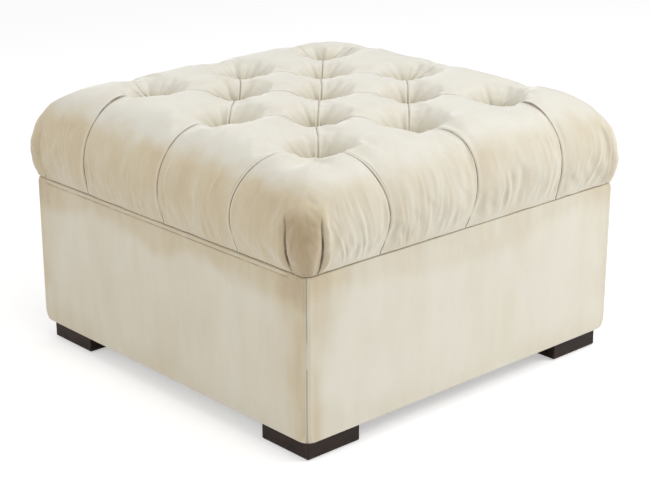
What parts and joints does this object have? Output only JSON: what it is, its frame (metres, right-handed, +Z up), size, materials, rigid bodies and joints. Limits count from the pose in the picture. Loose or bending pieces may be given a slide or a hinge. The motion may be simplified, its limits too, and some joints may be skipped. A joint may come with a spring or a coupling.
{
  "type": "storage ottoman",
  "caption": "Square velvet storage ottoman: upholstered box on block feet under a hinged, diamond-tufted cushion lid.",
  "frame": {"origin": "middle of the footprint, on the floor", "axes": "+Z up, the front faces -Y, the lid's hinges are along the back at +Y, +X is to the right"},
  "size_m": [0.792, 0.792, 0.495],
  "materials": {
    "velvet": "matte",
    "foot_wood": "satin",
    "plywood": "matte",
    "pine": "matte",
    "lining": "matte",
    "dust_cloth": "matte",
    "batting": "matte",
    "foam": "matte",
    "felt": "matte",
    "twine": "matte",
    "plastic": "matte",
    "steel": "satin"
  },
  "bodies": {
    "base": {"front_panel": "plywood", "back_panel": "plywood", "left_panel": "plywood", "right_panel": "plywood", "frame_screws": "steel", "corner_blocks": "pine", "floor_cleats": "pine", "floor_panel": "plywood", "storage_lining": "lining", "base_batting": "batting", "base_cover": "velvet", "rim_strip": "velvet", "dust_cover": "dust_cloth", "front_left_foot": "foot_wood", "front_right_foot": "foot_wood", "back_left_foot": "foot_wood", "back_right_foot": "foot_wood", "foot_glides": "felt", "foot_bolts": "steel", "tee_nuts": "steel", "lid_bumpers": "felt", "left_hinge_base_leaf": "steel", "right_hinge_base_leaf": "steel", "left_hinge_pin": "steel", "right_hinge_pin": "steel", "hinge_base_screws": "steel", "left_stay_base_plate": "steel", "right_stay_base_plate": "steel", "left_stay_base_rivet": "steel", "right_stay_base_rivet": "steel", "stay_base_screws": "steel"},
    "lid": {"lid_board": "plywood", "lid_foam": "foam", "lid_cover": "velvet", "lid_lining": "lining", "tuft_twines": "twine", "tuft_anchors": "plastic", "left_hinge_lid_leaf": "steel", "right_hinge_lid_leaf": "steel", "hinge_lid_screws": "steel", "left_stay_lid_bracket": "steel", "right_stay_lid_bracket": "steel", "left_stay_lid_rivet": "steel", "right_stay_lid_rivet": "steel", "stay_lid_screws": "steel"},
    "left_stay_lower": {"left_stay_lower_arm": "steel", "left_stay_elbow_rivet": "steel"},
    "left_stay_upper": {"left_stay_upper_arm": "steel"},
    "right_stay_lower": {"right_stay_lower_arm": "steel", "right_stay_elbow_rivet": "steel"},
    "right_stay_upper": {"right_stay_upper_arm": "steel"}
  },
  "joints": [
    {"name": "lid_hinge", "type": "hinge", "parent": "base", "child": "lid", "pos_m": [0, 0.3855, 0.327], "axis": [-1, 0, 0], "range_deg": [0, 90]},
    {"name": "left_stay_base_pivot", "type": "hinge", "parent": "base", "child": "left_stay_lower", "pos_m": [-0.3552, 0.3155, 0.217], "axis": [-1, 0, 0], "range_deg": [0, 90]},
    {"name": "left_stay_lid_pivot", "type": "hinge", "parent": "lid", "child": "left_stay_upper", "pos_m": [-0.3527, 0.2355, 0.3135], "axis": [-1, 0, 0], "range_deg": [-90, 0]},
    {"name": "right_stay_base_pivot", "type": "hinge", "parent": "base", "child": "right_stay_lower", "pos_m": [0.3552, 0.3155, 0.217], "axis": [-1, 0, 0], "range_deg": [0, 90]},
    {"name": "right_stay_lid_pivot", "type": "hinge", "parent": "lid", "child": "right_stay_upper", "pos_m": [0.3527, 0.2355, 0.3135], "axis": [-1, 0, 0], "range_deg": [-90, 0]}
  ],
  "couplings": [
    {"joint": "left_stay_base_pivot", "follows": "lid_hinge", "ratio": 1},
    {"joint": "left_stay_lid_pivot", "follows": "lid_hinge", "ratio": -1},
    {"joint": "right_stay_base_pivot", "follows": "lid_hinge", "ratio": 1},
    {"joint": "right_stay_lid_pivot", "follows": "lid_hinge", "ratio": -1}
  ]
}
